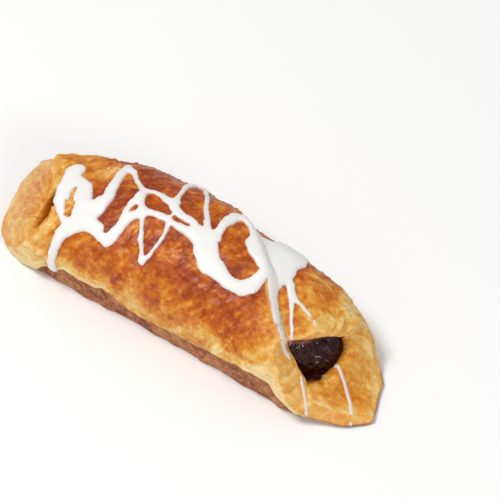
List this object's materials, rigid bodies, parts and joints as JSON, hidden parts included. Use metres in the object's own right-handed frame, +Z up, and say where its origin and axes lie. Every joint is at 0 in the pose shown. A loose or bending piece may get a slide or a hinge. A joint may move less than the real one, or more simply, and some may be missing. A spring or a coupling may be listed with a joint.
{
  "type": "danish pastry",
  "caption": "Folded danish pastry of laminated dough with a dark fruit filling that shows at both open ends, drizzled with white icing.",
  "frame": {"origin": "centre of the bounding box's underside, on the flat of the base", "axes": "+X along the roll toward the mouth that opens widest, +Y toward the far flap, +Z up through the crown"},
  "size_m": [0.1478, 0.0468, 0.0356],
  "materials": {
    "crust": "baked, lightly glazed",
    "filling": "glossy, wet"
  },
  "bodies": {
    "root": {"pastry": "crust", "filling": "filling"}
  },
  "joints": []
}
